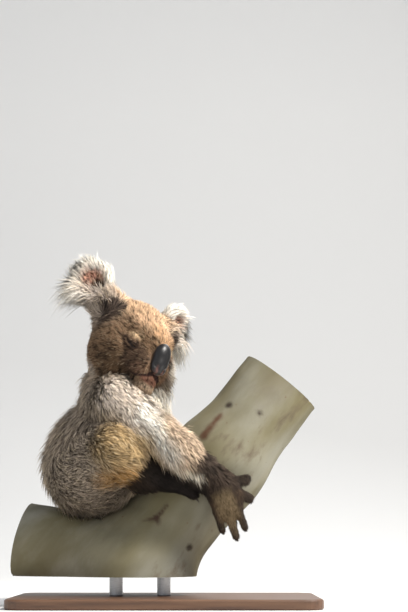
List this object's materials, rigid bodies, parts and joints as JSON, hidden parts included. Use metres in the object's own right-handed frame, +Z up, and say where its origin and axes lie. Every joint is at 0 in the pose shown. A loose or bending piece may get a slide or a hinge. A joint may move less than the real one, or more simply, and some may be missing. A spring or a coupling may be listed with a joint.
{
  "type": "koala",
  "caption": "Life-size koala asleep in the crotch of a pale gum limb, chin on its shoulder and one arm hung over the limb, on a display stand.",
  "frame": {"origin": "centre of the underside of the display base, on the floor", "axes": "+Z up; +X the way the free limb of the perch rises and the koala's chest faces; -Y the side of the arm that hangs over the limb"},
  "size_m": [0.4873, 0.3109, 0.544],
  "materials": {
    "coat": "soft dense woolly fur, grey-brown to tan, white on the chest and ear fringes, dark on hands and feet",
    "nose_skin": "smooth leathery nose pad",
    "eye": "dark eye under closed lids",
    "claw_horn": "dark smooth horn",
    "bark": "smooth pale gum bark with brown and grey patches, sawn ends",
    "base_board": "satin stained board",
    "rod_steel": "brushed"
  },
  "bodies": {
    "root": {"head": "coat", "neck": "coat", "trunk": "coat", "ear_left": "coat", "ear_right": "coat", "upper_arm_right": "coat", "forearm_right": "coat", "hand_right": "coat", "thigh_right": "coat", "shin_right": "coat", "foot_right": "coat", "upper_arm_left": "coat", "forearm_left": "coat", "hand_left": "coat", "thigh_left": "coat", "shin_left": "coat", "foot_left": "coat", "nose": "nose_skin", "eye_right": "eye", "eye_left": "eye", "claw_hand_right_1": "claw_horn", "claw_hand_right_2": "claw_horn", "claw_hand_right_3": "claw_horn", "claw_hand_right_4": "claw_horn", "claw_hand_right_5": "claw_horn", "claw_hand_left_1": "claw_horn", "claw_hand_left_2": "claw_horn", "claw_hand_left_3": "claw_horn", "claw_hand_left_4": "claw_horn", "claw_hand_left_5": "claw_horn", "claw_foot_right_2": "claw_horn", "claw_foot_right_4": "claw_horn", "claw_foot_right_5": "claw_horn", "claw_foot_left_2": "claw_horn", "claw_foot_left_4": "claw_horn", "claw_foot_left_5": "claw_horn", "perch": "bark", "stand_base": "base_board", "stand_rod_1": "rod_steel", "stand_rod_2": "rod_steel"}
  },
  "joints": []
}
